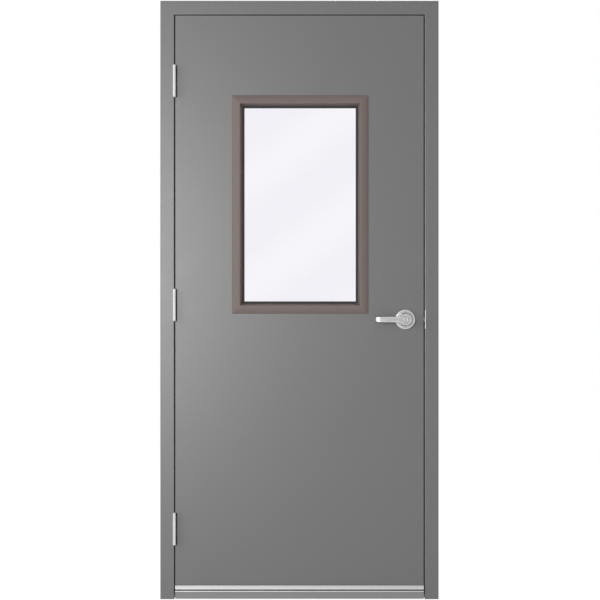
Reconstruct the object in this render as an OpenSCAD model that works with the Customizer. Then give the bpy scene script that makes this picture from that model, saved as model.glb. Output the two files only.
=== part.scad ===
// Hollow-metal door with a glazed vision panel, hung in its pressed steel frame.
// X runs along the wall towards the latch, Y into the wall from the pull side, Z up, in millimetres.
// The origin is at floor level, in the middle of the frame's width and depth.

/* [Opening] */
// Width between the two jambs' rabbets
opening_w = 914.4; // [800:0.1:1100]
// Height from the floor to the header's rabbet
opening_h = 2133.6; // [2050:0.1:2400]

/* [Frame section] */
// Width of the frame's face
face_w = 50.8; // [45:0.1:76]
// Depth of the frame, through the wall
frame_depth = 146; // [130:0.5:200]
// Thickness of the frame's sheet steel
frame_t = 1.5; // [1.2:0.1:2]
// Depth of the rabbet that takes the door
rabbet_d = 49.2; // [48.5:0.1:54]
// Depth of the empty rabbet on the push side
back_rabbet_d = 39.7; // [30:0.1:49]
// Height of the stop above the rabbets
stop_h = 15.9; // [12:0.1:20]
// Return at the back of each face, which grips the wall
backbend = 12.7; // [8:0.1:16]
// Inside radius of the frame's bends
frame_bend_r = 1.2; // [0.6:0.1:2]

/* [Frame fittings] */
// Thickness of the floor and wall anchors
anchor_t = 2; // [1.5:0.1:3]
// Width of the floor anchors, along the depth of the frame
floor_anchor_w = 40; // [36:0.5:42]
// Height of the floor anchors' upright leg
floor_anchor_h = 70; // [40:1:120]
// Radius of the holes in the floor anchors
floor_hole_r = 5.5; // [4:0.1:6.5]
// Hole to hole along the depth of the frame
floor_hole_pitch = 24; // [18:0.5:30]
// Distance of the floor anchors' holes from the frame's outer edge
floor_hole_inset = 26; // [20:0.5:34]
// Height of each wall anchor
wall_anchor_h = 38; // [25:1:60]
// Distance of a wall anchor's web from the frame's outer edge
wall_anchor_inset = 40; // [39.5:0.5:46]
// Radius of the screw holes in the wall anchors
wall_hole_r = 2.6; // [2:0.1:3.5]
// Number of wall anchors in each jamb
wall_anchors_per_jamb = 3; // [2:1:5]
// Height of the lowest wall anchor
wall_anchor_z = 420; // [380:5:500]
// Distance of the highest wall anchor below the header's rabbet
wall_anchor_top_gap = 433.6; // [300:0.1:500]
// Radius of a silencer's head
silencer_r = 5.5; // [4:0.1:6.5]
// Radius of a silencer's stem
silencer_stem_r = 2.8; // [2:0.1:3.5]
// Height of the lowest silencer
silencer_z = 300; // [150:5:450]

/* [Door leaf] */
// Thickness of the door
door_t = 44.5; // [42:0.1:46]
// Gap between the door and the frame, at the sides and the top
edge_gap = 3.2; // [2.4:0.1:4]
// Gap between the door and the floor
undercut = 19; // [12:0.5:22]
// Distance of the door's face behind the frame's face
door_setback = 1.6; // [0.8:0.1:2.4]
// Thickness of the face sheets
skin_t = 1.2; // [0.9:0.1:1.6]
// Inside radius of the face sheets' bends
skin_bend_r = 1; // [0.6:0.1:1.6]
// Width of the seam on the door's edges, where the two face sheets meet
seam_w = 0.6; // [0.3:0.1:1]
// Thickness of the end channels
channel_t = 1.5; // [1.2:0.1:2]
// Depth of the end channels
channel_d = 26; // [20:0.5:34]
// Number of upright stiffeners between the face sheets
stiffener_count = 5; // [3:1:7]
// Thickness of the stiffeners
stiffener_t = 0.9; // [0.7:0.1:1.2]
// Width of a stiffener's flanges
stiffener_flange = 20; // [14:0.5:26]
// Thickness of the plates behind the hinges
hinge_plate_t = 4.5; // [3:0.1:5]
// Length of those plates past each end of the hinge
hinge_plate_end = 28; // [15:1:40]

/* [Vision panel] */
// Width of the cut-out in the door
lite_w = 457.2; // [350:0.1:520]
// Height of the cut-out in the door
lite_h = 757.2; // [600:0.1:850]
// Distance of the cut-out below the door's top
lite_top_gap = 311.3; // [250:0.1:330]
// Distance of the cut-out's middle from the door's middle, towards the latch
lite_x = 2.4; // [-10:0.1:10]
// How far the panel's frame laps over the door
lite_lap = 19.9; // [16:0.1:23]
// Width of the panel frame's crowned face
lite_face_w = 30; // [27:0.1:34]
// Width of the panel frame's slanting inner side, as seen from the front
lite_reveal_w = 7.5; // [4:0.1:10]
// Height of the panel frame's outer edge above the door
lite_edge_h = 2.4; // [2.2:0.1:4]
// Greatest height of the panel frame above the door
lite_rise = 9.6; // [7:0.1:12]
// How strongly the panel frame's face curves down to its outer edge
lite_crown = 2.4; // [1:0.1:3]
// Thickness of the panel frame's sheet steel
lite_t = 1.5; // [1:0.1:2]
// Inside radius of the panel frame's bends
lite_bend_r = 1.2; // [0.6:0.1:2]
// Thickness of the glass
glass_t = 6; // [5:0.1:8]
// Depth of glass edge that the gaskets hold
glass_bite = 14; // [11:0.5:16]
// Thickness of each gasket
gasket_t = 3; // [2:0.1:4]
// Width of gasket that shows inside the panel's frame
gasket_show = 7.5; // [4:0.1:9]
// Length of the blocks under the glass
block_l = 60; // [40:1:100]
// Distance of the clamping screws from the panel frame's outer edge
lite_screw_inset = 25; // [24.5:0.1:25.5]
// Number of clamping screws up each side
lite_screws_z = 4; // [3:1:6]
// Width of the flanges of the steel liner round the cut-out
liner_flange = 15; // [11:0.5:20]

/* [Hinges] */
// Height of the hinges
hinge_h = 114.3; // [100:0.1:127]
// Width of one hinge leaf, from the pin's axis
hinge_leaf_w = 57.15; // [55:0.05:60]
// Thickness of a hinge leaf
hinge_t = 3.4; // [2.8:0.1:3.8]
// Radius of the knuckles
knuckle_r = 6; // [5.6:0.1:6.8]
// Number of knuckles
knuckles = 5; // [3:2:7]
// Gap between one knuckle and the next
knuckle_gap = 0.4; // [0.3:0.05:0.8]
// Radius of the hinge pins
pin_r = 3.3; // [2.8:0.1:3.6]
// Clearance around a hinge pin
pin_fit = 0.05; // [0.02:0.01:0.1]
// Height of the pin's tips past the knuckles
pin_tip_h = 2; // [1.2:0.1:3]
// Distance of a hinge leaf's edge from the door's push-side face
hinge_backset = 6.35; // [5:0.05:8]
// Height of the bottom hinge's middle above the floor
hinge_bottom_z = 258; // [230:1:290]
// Distance of the top hinge's middle below the door's top
hinge_top_gap = 240.4; // [180:0.1:260]
// Width of the notch beside each hinge in the door's front face
hinge_notch = 4; // [2:0.1:6]
// Distance between the screws up a hinge leaf
hinge_screw_pitch = 27; // [22:0.5:29]
// Distance of a hinge leaf's outer screws from its edge
hinge_screw_near = 9.5; // [8:0.1:12]
// Distance of a hinge leaf's inner screws from its edge
hinge_screw_far = 22; // [18:0.1:26]

/* [Lock] */
// Distance of the lock's axis from the door's edge
backset = 68.5; // [66:0.05:75]
// Height of the lock's axis above the floor
lock_z = 1021; // [1000:0.5:1026]
// Radius of the hole across the door for the lock
lock_bore_r = 27; // [26.5:0.1:28]
// Radius of the roses
rose_r = 37; // [34:0.1:42]
// Height of the roses above the door
rose_h = 10; // [8:0.1:12]
// Wall of the roses
rose_wall = 1.8; // [1.2:0.1:2.2]
// Radius of the rounded shoulder of the roses
rose_shoulder_r = 6; // [4:0.1:7]
// Radius of the lever's shank, which turns in the rose
shank_r = 14; // [13:0.1:15]
// Clearance around the shank
shank_fit = 0.08; // [0.02:0.01:0.1]
// Radius of the lever's hub, at its front
hub_r = 21.5; // [18:0.1:23]
// Radius of the lever's hub where it meets the rose
hub_base_r = 27; // [23:0.1:29]
// Rounding of the hub's front edge
hub_edge_r = 4; // [2:0.1:6]
// Distance of the hub's front from the door
hub_out = 58; // [54:0.5:66]
// Distance of the lever's tip from the lock's axis
lever_reach = 112.5; // [95:0.5:130]
// Height of the lever's bar
lever_h = 22; // [18:0.1:25]
// Thickness of the lever's bar
lever_t = 11; // [9:0.1:13]
// Height of the lever's neck, where it leaves the hub
neck_h = 36; // [27:0.1:40]
// Length of the neck's taper, from the hub
neck_l = 20; // [12:0.5:24]
// Radius of the bend at the lever's tip, at the bar's middle
lever_bend_r = 13; // [10:0.1:18]
// Gap between the lever's tip and the door
tip_gap = 20; // [14:0.5:26]
// Width of the square spindle
spindle_w = 8; // [7:0.1:9]
// Clearance between the spindle and the levers
spindle_fit = 0.1; // [0.05:0.01:0.2]
// Depth of the spindle in each lever, from the door's face
spindle_in = 22; // [18:0.5:26]
// Radius of the key cylinder's housing
cylinder_r = 11; // [10:0.1:12]
// Length of the key cylinder
cylinder_l = 32; // [26:0.5:34]
// Radius of the key cylinder's plug
plug_r = 7.4; // [6.5:0.1:8]
// Height of the plug's face above the hub
plug_out = 0.8; // [0.4:0.1:1.5]
// Width of the keyway
keyway_w = 2.6; // [1.6:0.1:3]
// Height of the keyway
keyway_h = 11; // [8:0.1:12]
// Radius of the turn button in the inside lever
button_r = 7; // [6:0.1:9]
// Depth of the turn button in the lever
button_in = 12; // [8:0.5:16]
// Height of the turn button's wing above the hub
wing_h = 7; // [5:0.1:10]
// Width of the turn button's wing
wing_w = 4; // [3:0.1:5]
// Clearance around pieces that turn in the levers
turn_fit = 0.08; // [0.02:0.01:0.1]
// Distance of the through bolts from the lock's axis
bolt_offset = 20.6; // [20:0.1:21.5]
// Radius of the through bolts
bolt_r = 2.5; // [2:0.1:3]
// Radius of the bolt posts in the outside rose
post_r = 4.2; // [3.8:0.1:4.4]
// Depth of the channel that holds the lock, from the latch's faceplate
lock_plate_d = 110; // [95:1:115]
// Height of that channel
lock_plate_h = 130; // [110:1:160]
// Thickness of that channel
lock_plate_t = 2; // [1.5:0.1:2.5]

/* [Latch and strike] */
// Height of the latch's faceplate
faceplate_h = 57.2; // [54:0.1:64]
// Width of the latch's faceplate
faceplate_w = 28.6; // [25.4:0.1:32]
// Thickness of the latch's faceplate
faceplate_t = 2.4; // [2:0.1:3]
// Width of the latch, through the door
latch_w = 12.6; // [11:0.1:13.5]
// Height of the latch
latch_h = 16; // [14:0.1:17]
// How far the latch stands out of the door
latch_throw = 12.7; // [11:0.1:14]
// Length of latch that stays inside the door
latch_tail = 24; // [18:0.5:26]
// Outer radius of the latch's case
case_r = 12; // [11.8:0.1:12.6]
// Wall of the latch's case
case_wall = 1; // [0.8:0.1:1.2]
// Clearance around the latch
latch_fit = 0.3; // [0.2:0.05:0.5]
// Height of the strike plate
strike_h = 69.8; // [64:0.1:76]
// Thickness of the strike plate
strike_t = 2.2; // [1.8:0.1:2.6]
// Distance of the strike plate's back edge from the latch's middle
strike_back = 15; // [13:0.1:18]
// How far the strike's lip wraps over the frame's face
strike_lip = 4.3; // [3.5:0.1:8]
// Room around the latch in the strike's hole
strike_room = 2; // [1:0.1:3]
// Thickness of the tapped plate behind the strike
strike_plate_t = 3; // [2:0.1:4]
// Length of that plate past each end of the strike
strike_plate_end = 20; // [12:1:30]
// Depth of the strike's dust box
box_d = 20; // [16:0.5:28]
// Wall of the dust box
box_wall = 1; // [0.8:0.1:1.5]

/* [Door sweep] */
// Height of the sweep's aluminium holder
holder_h = 23.5; // [20:0.5:34]
// Height of the holder's lower edge above the floor
holder_z = 27; // [20:0.5:30]
// Thickness of the holder's upper plate
holder_t = 6; // [3:0.1:7]
// Thickness of the holder in the groove
groove_t = 1.4; // [1.2:0.1:2.4]
// Depth of the fine line along the upper plate
score_d = 0.6; // [0.4:0.1:0.9]
// Depth of the holder's lower bead, which grips the flap
bead_d = 8; // [6:0.1:9.5]
// Height of the holder's lower bead
bead_h = 4.5; // [4:0.1:7]
// Width of the groove above the bead
groove_w = 4.5; // [4.4:0.1:6]
// Thickness of the flap
flap_t = 3; // [2:0.1:4]
// Gap between the flap and the floor
flap_gap = 2; // [1:0.1:4]
// Depth of the flap in the holder
flap_in = 3; // [2:0.1:3.5]
// Distance of the sweep's ends from the door's edges
sweep_inset = 0.5; // [0:0.1:4]
// Number of screws in the sweep
sweep_screws_n = 6; // [3:1:9]
// Radius of a sweep screw's head
sweep_head_r = 1.8; // [1.6:0.1:1.8]
// Radius of a sweep screw's shank
sweep_shank_r = 1.1; // [0.9:0.1:1.2]

/* [Screws] */
// Clearance around each screw
screw_fit = 0.1; // [0.05:0.01:0.15]
// Radius of a hinge screw's head
hinge_head_r = 5.4; // [4.5:0.1:6]
// Radius of a hinge screw's shank
hinge_shank_r = 2.7; // [2.2:0.1:3]
// Length of a hinge screw
hinge_screw_l = 12; // [11:0.5:16]
// Radius of a small screw's head
small_head_r = 4; // [3.4:0.1:4.4]
// Radius of a small screw's shank
small_shank_r = 2.1; // [1.7:0.1:2.3]
// Length of a faceplate or strike screw
small_screw_l = 12; // [9:0.5:16]

/* [Hidden] */
$fn = 48;
bend_steps = 4;
eps = 1;
seat_gap = 0.3;
screw_steps = 24;
lip_bend_r = 0.7;
plate_screw_end = 5.2;
lite_screw_past = 4;
silencer_barb = 0.8;
silencer_tip = 4;
bead_edge_r = 1.2;
hole_lip = 0.2;
recess_arm = 0.55;
recess_w = 0.24;
recess_d = 0.5;
crown_steps = 6;
cylinder_floor = 2;
keyway_floor = 10;
bolt_bite = 13;
neck_slice = 0.5;

frame_w = opening_w + 2 * face_w;
frame_h = opening_h + face_w;
frame_front = -frame_depth / 2;
stop_y = frame_front + rabbet_d;
back_stop_y = frame_depth / 2 - back_rabbet_d;
section_d = face_w + stop_h;

door_w = opening_w - 2 * edge_gap;
door_top = opening_h - edge_gap;
door_h = door_top - undercut;
door_front = frame_front + door_setback;
door_back = door_front + door_t;
door_mid = door_front + door_t / 2;
inner_half = door_t / 2 - skin_t;
stiffener_pitch = door_w / (stiffener_count + 1);
silencer_pitch = opening_h / 2 - silencer_z;
wall_anchor_span = opening_h - wall_anchor_top_gap - wall_anchor_z;
wall_anchor_pitch = wall_anchor_span / (wall_anchors_per_jamb - 1);

lite_z = door_top - lite_top_gap - lite_h / 2;
trim_w = lite_w + 2 * lite_lap;
trim_h = lite_h + 2 * lite_lap;
flange_u = lite_face_w + lite_reveal_w;
sight_u = flange_u + gasket_show;
glass_u = sight_u - glass_bite;
flange_half = glass_t / 2 + gasket_t;
flange_v = flange_half - door_t / 2;
glass_w = trim_w - 2 * glass_u;
glass_h = trim_h - 2 * glass_u;
lite_screw_top = crown(lite_screw_inset);
lite_screw_l = door_t / 2 + lite_screw_top + flange_half + lite_t + lite_screw_past;

pin_x = -opening_w / 2 + edge_gap / 2;
leaf_edge_y = door_back - hinge_backset;
pin_y = leaf_edge_y - hinge_leaf_w;
knuckle_h = hinge_h / knuckles;
hinge_pitch = (door_top - hinge_top_gap - hinge_bottom_z) / 2;
hinge_zs = [for (i = [0:2]) hinge_bottom_z + i * hinge_pitch];
plate_end_h = hinge_h + 2 * hinge_plate_end;
plate_depth = hinge_t + hinge_plate_t;
door_plate_y = leaf_edge_y - hinge_screw_far - 2 * hinge_shank_r;

lock_x = door_w / 2 - backset;
bar_y = hub_out - lever_t / 2;
latch_edge = door_w / 2;
strike_x = opening_w / 2;
case_l = latch_edge - faceplate_t - lock_x - lock_bore_r;
strike_hole_w = latch_w + 2 * strike_room;
strike_hole_h = latch_h + 2 * strike_room;
strike_screw_span = strike_h - 2 * plate_screw_end;
faceplate_screw_span = faceplate_h - 2 * plate_screw_end;
reinforcement_d = strike_t + strike_plate_t;
spindle_turn_r = spindle_w * sqrt(2) / 2 + seat_gap;
post_l = door_t / 2;
bolt_l = rose_h + post_l + bolt_bite;

sweep_l = door_w - 2 * sweep_inset;
plate_low = bead_h + groove_w;
score_v = plate_low + 0.63 * (holder_h - plate_low);
sweep_screw_z = holder_z + bead_h + groove_w / 2;

steel_grey = "#75777a";
inner_steel = "#8a8d90";
bronze = "#766861";
silver = "#c6c7c8";
dark = "#2b2b2d";

// Direction of a step, its left-hand normal, and a vector turned by an angle
function unit(v) = v / norm(v);
function left(d) = [-d[1], d[0]];
function turned(v, a) = [v[0] * cos(a) - v[1] * sin(a), v[0] * sin(a) + v[1] * cos(a)];
function reversed(list) = [for (i = [len(list) - 1:-1:0]) list[i]];
function arc(centre, r, from, to, steps) =
    [for (i = [0:steps], a = [from + (to - from) * i / steps]) centre + r * [cos(a), sin(a)]];

// One surface of a bent sheet: the path moved to its left by off, with a round at each bend
function bend(path, i, t, r, off) =
    let (d0 = unit(path[i] - path[i - 1]), d1 = unit(path[i + 1] - path[i]))
    let (turn = atan2(cross(d0, d1), d0 * d1), c = turn > 0 ? t + r : -r)
    let (centre = path[i] + (left(d0) + left(d1)) * c / (1 + d0 * d1))
    [for (k = [0:bend_steps]) centre - turned(left(d0), turn * k / bend_steps) * (c - off)];
function sheet_side(path, t, r, off) =
    let (n = len(path) - 1)
    let (first = path[0] + left(unit(path[1] - path[0])) * off)
    let (last = path[n] + left(unit(path[n] - path[n - 1])) * off)
    concat([first], [for (i = [1:n - 1]) each bend(path, i, t, r, off)], [last]);

// Section of a sheet of thickness t that lies to the left of a path, bent to inside radius r
module sheet_section(path, t, r)
    polygon(concat(sheet_side(path, t, r, 0), reversed(sheet_side(path, t, r, t))));

// A box from its low and high corners
module block(low, high)
    translate(low) cube(high - low);

// A flat-head screw with a cross recess that points along -Z, with its head's top at the origin
module flat_screw(head_r, shank_r, l) {
    head_h = head_r - shank_r;
    arm = recess_arm * head_r;
    half_w = recess_w * head_r / 2;
    depth = recess_d * head_h;
    difference() {
        rotate_extrude($fn = screw_steps)
            polygon([[0, 0], [head_r, 0], [shank_r, -head_h], [shank_r, -l], [0, -l]]);
        block([-arm, -half_w, -depth], [arm, half_w, eps]);
        block([-half_w, -arm, -depth], [half_w, arm, eps]);
    }
}

// The hole that takes a flat-head screw
module screw_hole(head_r, shank_r, l) {
    head_h = head_r - shank_r;
    rotate_extrude($fn = screw_steps)
        polygon([[0, eps], [head_r + screw_fit + hole_lip, eps], [head_r + screw_fit + hole_lip, hole_lip],
                 [shank_r + screw_fit, -head_h],
                 [shank_r + screw_fit, -l - eps], [0, -l - eps]]);
}

// The frame's section: s runs from the outer edge towards the opening, y through the wall
module frame_section()
    sheet_section([[0, frame_front + backbend], [0, frame_front], [face_w, frame_front],
                   [face_w, stop_y], [section_d, stop_y], [section_d, back_stop_y],
                   [face_w, back_stop_y], [face_w, -frame_front], [0, -frame_front],
                   [0, -frame_front - backbend]], frame_t, frame_bend_r);

// A plate through the wall whose outline is given in X and Z
module upright_plate(points)
    rotate([90, 0, 0])
        linear_extrude(2 * frame_depth, center = true)
            polygon(points);

// The left jamb, mitred at the top
module plain_jamb()
    intersection() {
        translate([-frame_w / 2, 0, 0])
            linear_extrude(frame_h)
                frame_section();
        upright_plate([[-frame_w / 2 - eps, -eps], [-frame_w / 2 + section_d + eps, -eps],
                       [-frame_w / 2 + section_d + eps, frame_h - section_d - eps],
                       [-frame_w / 2 - eps, frame_h + eps]]);
    }

// Places of the screws in one hinge leaf, as distances from its edge and from its middle
hinge_screw_places = [for (i = [0:3])
    [i % 3 == 0 ? hinge_screw_near : hinge_screw_far, (i - 1.5) * hinge_screw_pitch]];

module hinge_jamb() {
    color(steel_grey)
    difference() {
        plain_jamb();
        for (z = hinge_zs)
            block([-strike_x - hinge_t - seat_gap, frame_front - eps, z - hinge_h / 2 - seat_gap],
                  [-strike_x + eps, leaf_edge_y + seat_gap, z + hinge_h / 2 + seat_gap]);
    }
}

module strike_jamb() {
    color(steel_grey)
    difference() {
        mirror([1, 0, 0])
            plain_jamb();
        block([strike_x - eps, frame_front - eps, lock_z - strike_h / 2 - seat_gap],
              [strike_x + strike_t + seat_gap, door_mid + strike_back + seat_gap,
               lock_z + strike_h / 2 + seat_gap]);
        for (i = [0:2])
            translate([strike_x - stop_h / 2, stop_y - eps, silencer_z + i * silencer_pitch])
                rotate([-90, 0, 0])
                    cylinder(r = silencer_stem_r + screw_fit, h = frame_t + 2 * eps);
    }
}

module header() {
    color(steel_grey)
    intersection() {
        translate([-frame_w / 2, 0, frame_h])
            rotate([0, 90, 0])
                linear_extrude(frame_w)
                    frame_section();
        upright_plate([[-frame_w / 2, frame_h], [frame_w / 2, frame_h],
                       [frame_w / 2 - section_d, frame_h - section_d],
                       [-frame_w / 2 + section_d, frame_h - section_d]]);
    }
}

// The plate welded behind one hinge, in a sheet of thickness t, from the surface at x = 0 towards +X
module hinge_plate(t, y_low, y_high, y_edge) {
    difference() {
        block([t, y_low, -plate_end_h / 2], [plate_depth, y_high, plate_end_h / 2]);
        block([t - eps, y_low - eps, -hinge_h / 2 - seat_gap],
              [hinge_t, y_edge + seat_gap, hinge_h / 2 + seat_gap]);
        for (p = hinge_screw_places)
            translate([hinge_t, y_edge - p[0], p[1]])
                rotate([0, 90, 0])
                    cylinder(r = hinge_shank_r + screw_fit, h = 2 * hinge_plate_t, center = true);
    }
}

module frame_hinge_plates() {
    color(inner_steel)
    for (z = hinge_zs)
        translate([-strike_x, 0, z])
            mirror([1, 0, 0])
                hinge_plate(frame_t, frame_front + frame_t + frame_bend_r, stop_y - frame_bend_r,
                            leaf_edge_y);
}

module door_hinge_plates() {
    color(inner_steel)
    for (z = hinge_zs)
        translate([-door_w / 2, 0, z])
            hinge_plate(skin_t, door_plate_y, door_mid + inner_half - skin_bend_r, leaf_edge_y);
}

// The knuckle numbers of one leaf: the frame's leaf has the even ones, the door's the odd ones
function own_knuckles(first) = [for (i = [first:2:knuckles - 1]) i];

// One hinge leaf on the +X side of its pin's axis, at the origin, running towards +Y
module hinge_leaf(first) {
    difference() {
        union() {
            block([edge_gap / 2, 0, -hinge_h / 2], [edge_gap / 2 + hinge_t, hinge_leaf_w, hinge_h / 2]);
            for (i = own_knuckles(first))
                translate([0, 0, -hinge_h / 2 + i * knuckle_h + knuckle_gap / 2])
                    cylinder(r = knuckle_r, h = knuckle_h - knuckle_gap);
        }
        cylinder(r = pin_r + pin_fit, h = hinge_h + 2 * eps, center = true);
        for (i = own_knuckles(1 - first))
            translate([0, 0, -hinge_h / 2 + i * knuckle_h - knuckle_gap / 2])
                cylinder(r = knuckle_r + knuckle_gap, h = knuckle_h + knuckle_gap);
        for (p = hinge_screw_places)
            translate([edge_gap / 2, hinge_leaf_w - p[0], p[1]])
                rotate([0, -90, 0])
                    screw_hole(hinge_head_r, hinge_shank_r, hinge_t);
    }
}

module frame_leaf(z)
    color(silver)
    translate([pin_x, pin_y, z])
        mirror([1, 0, 0])
            hinge_leaf(0);

module door_leaf(z)
    color(silver)
    translate([pin_x, pin_y, z])
        hinge_leaf(1);

module hinge_pin(z) {
    tip_r = knuckle_r - knuckle_gap;
    crown = pin_tip_h / 2;
    half = hinge_h / 2;
    color(silver)
    translate([pin_x, pin_y, z])
        rotate_extrude()
            polygon([[0, -half - pin_tip_h], [tip_r - crown, -half - pin_tip_h], [tip_r, -half - crown],
                     [tip_r, -half], [pin_r, -half], [pin_r, half], [tip_r, half],
                     [tip_r, half + crown], [tip_r - crown, half + pin_tip_h], [0, half + pin_tip_h]]);
}

module bottom_hinge_frame_leaf() frame_leaf(hinge_zs[0]);
module middle_hinge_frame_leaf() frame_leaf(hinge_zs[1]);
module top_hinge_frame_leaf() frame_leaf(hinge_zs[2]);
module bottom_hinge_door_leaf() door_leaf(hinge_zs[0]);
module middle_hinge_door_leaf() door_leaf(hinge_zs[1]);
module top_hinge_door_leaf() door_leaf(hinge_zs[2]);
module bottom_hinge_pin() hinge_pin(hinge_zs[0]);
module middle_hinge_pin() hinge_pin(hinge_zs[1]);
module top_hinge_pin() hinge_pin(hinge_zs[2]);

// All the screws of one side's hinge leaves, with heads towards the gap
module hinge_screws(x, side)
    color(silver)
    for (z = hinge_zs, p = hinge_screw_places)
        translate([x, leaf_edge_y - p[0], z + p[1]])
            rotate([0, side * 90, 0])
                flat_screw(hinge_head_r, hinge_shank_r, hinge_screw_l);

module frame_hinge_screws() hinge_screws(-strike_x, 1);
module door_hinge_screws() hinge_screws(-door_w / 2, -1);

// Places of the two screws of a plate on the door's edge or the rabbet, with heads towards -X or +X
module at_plate_screws(x, span, side)
    for (up = [-1, 1])
        translate([x, door_mid, lock_z + up * span / 2])
            rotate([0, side * 90, 0])
                children();

module strike_plate() {
    lip_y = frame_front - seat_gap - strike_t;
    color(silver)
    difference() {
        translate([0, 0, lock_z - strike_h / 2])
            linear_extrude(strike_h)
                sheet_section([[strike_x, door_mid + strike_back], [strike_x, lip_y],
                               [strike_x + strike_lip, lip_y]], strike_t, lip_bend_r);
        block([strike_x - eps, door_mid - strike_hole_w / 2, lock_z - strike_hole_h / 2],
              [strike_x + strike_t + eps, door_mid + strike_hole_w / 2, lock_z + strike_hole_h / 2]);
        at_plate_screws(strike_x, strike_screw_span, -1)
            screw_hole(small_head_r, small_shank_r, strike_t);
    }
}

module strike_screws() {
    color(silver)
    at_plate_screws(strike_x, strike_screw_span, -1)
        flat_screw(small_head_r, small_shank_r, small_screw_l);
}

// Tapped plate behind the strike, with a pocket that lets the strike lie flush
module strike_reinforcement() {
    half = strike_h / 2;
    color(inner_steel)
    difference() {
        block([strike_x + frame_t, frame_front + frame_t + frame_bend_r, lock_z - half - strike_plate_end],
              [strike_x + reinforcement_d, stop_y - frame_bend_r, lock_z + half + strike_plate_end]);
        block([strike_x, frame_front, lock_z - half - seat_gap],
              [strike_x + strike_t, door_mid + strike_back + seat_gap, lock_z + half + seat_gap]);
        block([strike_x, door_mid - strike_hole_w / 2, lock_z - strike_hole_h / 2],
              [strike_x + reinforcement_d + eps, door_mid + strike_hole_w / 2, lock_z + strike_hole_h / 2]);
        at_plate_screws(strike_x, strike_screw_span, -1)
            translate([0, 0, -reinforcement_d - eps])
                cylinder(r = small_shank_r + screw_fit, h = reinforcement_d);
    }
}

// Dust box that keeps the latch's hole clear behind the strike
module strike_box() {
    half_w = strike_hole_w / 2;
    half_h = strike_hole_h / 2;
    low_x = strike_x + reinforcement_d;
    color(dark)
    difference() {
        block([low_x, door_mid - half_w - box_wall, lock_z - half_h - box_wall],
              [low_x + box_d, door_mid + half_w + box_wall, lock_z + half_h + box_wall]);
        block([low_x - eps, door_mid - half_w, lock_z - half_h],
              [low_x + box_d - box_wall, door_mid + half_w, lock_z + half_h]);
    }
}

// Bent foot of the left jamb: a plate on the floor and a leg up the soffit's back
module floor_anchor() {
    soffit_s = section_d - frame_t;
    difference() {
        translate([-frame_w / 2, floor_anchor_w / 2, 0])
            rotate([90, 0, 0])
                linear_extrude(floor_anchor_w)
                    sheet_section([[floor_hole_inset - 2.5 * floor_hole_r, 0], [soffit_s, 0],
                                   [soffit_s, floor_anchor_h]], anchor_t, frame_bend_r);
        for (side = [-1, 1])
            translate([-frame_w / 2 + floor_hole_inset, side * floor_hole_pitch / 2, -eps])
                cylinder(r = floor_hole_r, h = anchor_t + 2 * eps);
    }
}

module hinge_floor_anchor() {
    color(inner_steel)
    floor_anchor();
}

module strike_floor_anchor() {
    color(inner_steel)
    mirror([1, 0, 0])
        floor_anchor();
}

// Hat-shaped strap of the left jamb: feet on the soffit's back, web towards the wall's stud
module wall_anchor(z) {
    soffit_s = section_d - frame_t;
    middle = (stop_y + back_stop_y) / 2;
    foot = (back_stop_y - stop_y) / 2 - frame_t - frame_bend_r - seat_gap;
    leg = foot / 2;
    difference() {
        translate([-frame_w / 2, middle, z - wall_anchor_h / 2])
            linear_extrude(wall_anchor_h)
                sheet_section([[soffit_s, -foot], [soffit_s, -leg], [wall_anchor_inset, -leg],
                               [wall_anchor_inset, leg], [soffit_s, leg], [soffit_s, foot]],
                              anchor_t, frame_bend_r);
        for (side = [-1, 1])
            translate([-frame_w / 2 + wall_anchor_inset, middle, z + side * wall_anchor_h / 4])
                rotate([0, 90, 0])
                    cylinder(r = wall_hole_r, h = 3 * anchor_t, center = true);
    }
}

module wall_anchors() {
    color(inner_steel)
    for (i = [0:wall_anchors_per_jamb - 1], flip = [0, 1])
        mirror([flip, 0, 0])
            wall_anchor(wall_anchor_z + i * wall_anchor_pitch);
}

// Rubber buttons in the stop, which the closed door lies against
module silencers() {
    head_h = stop_y - door_back - seat_gap;
    dome = head_h / 2;
    barb_r = silencer_stem_r + silencer_barb;
    barb = frame_t + screw_fit;
    color(dark)
    for (i = [0:2])
        translate([strike_x - stop_h / 2, stop_y, silencer_z + i * silencer_pitch])
            rotate([-90, 0, 0])
                rotate_extrude()
                    polygon([[0, -head_h], [silencer_r - dome, -head_h], [silencer_r, -head_h + dome],
                             [silencer_r, 0], [silencer_stem_r, 0], [silencer_stem_r, barb],
                             [barb_r, barb], [silencer_stem_r, barb + silencer_tip],
                             [0, barb + silencer_tip]]);
}

// What is cut out of both face sheets: the panel, the lock and the hinges' recesses
module skin_cuts() {
    block([lite_x - lite_w / 2, door_front - eps, lite_z - lite_h / 2],
          [lite_x + lite_w / 2, door_back + eps, lite_z + lite_h / 2]);
    translate([lock_x, door_mid, lock_z])
        rotate([90, 0, 0])
            cylinder(r = lock_bore_r, h = 2 * door_t, center = true);
    block([latch_edge - faceplate_t - eps, door_mid - faceplate_w / 2 - seat_gap,
           lock_z - faceplate_h / 2 - seat_gap],
          [latch_edge + eps, door_mid + faceplate_w / 2 + seat_gap, lock_z + faceplate_h / 2 + seat_gap]);
    for (z = hinge_zs) {
        block([-door_w / 2 - eps, door_front - eps, z - hinge_h / 2 - seat_gap],
              [-door_w / 2 + hinge_t + seat_gap, leaf_edge_y + seat_gap, z + hinge_h / 2 + seat_gap]);
        block([-door_w / 2, door_front - eps, z - hinge_h / 2 - seat_gap],
              [-door_w / 2 + hinge_t + hinge_notch, door_front + 2 * skin_t, z + hinge_h / 2 + seat_gap]);
    }
}

// One face sheet with its edges turned in as far as the seam
module skin() {
    seam_y = -seam_w / 2;
    face_y = -door_t / 2;
    translate([0, door_mid, undercut])
        linear_extrude(door_h)
            sheet_section([[-door_w / 2, seam_y], [-door_w / 2, face_y], [door_w / 2, face_y],
                           [door_w / 2, seam_y]], skin_t, skin_bend_r);
}

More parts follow.
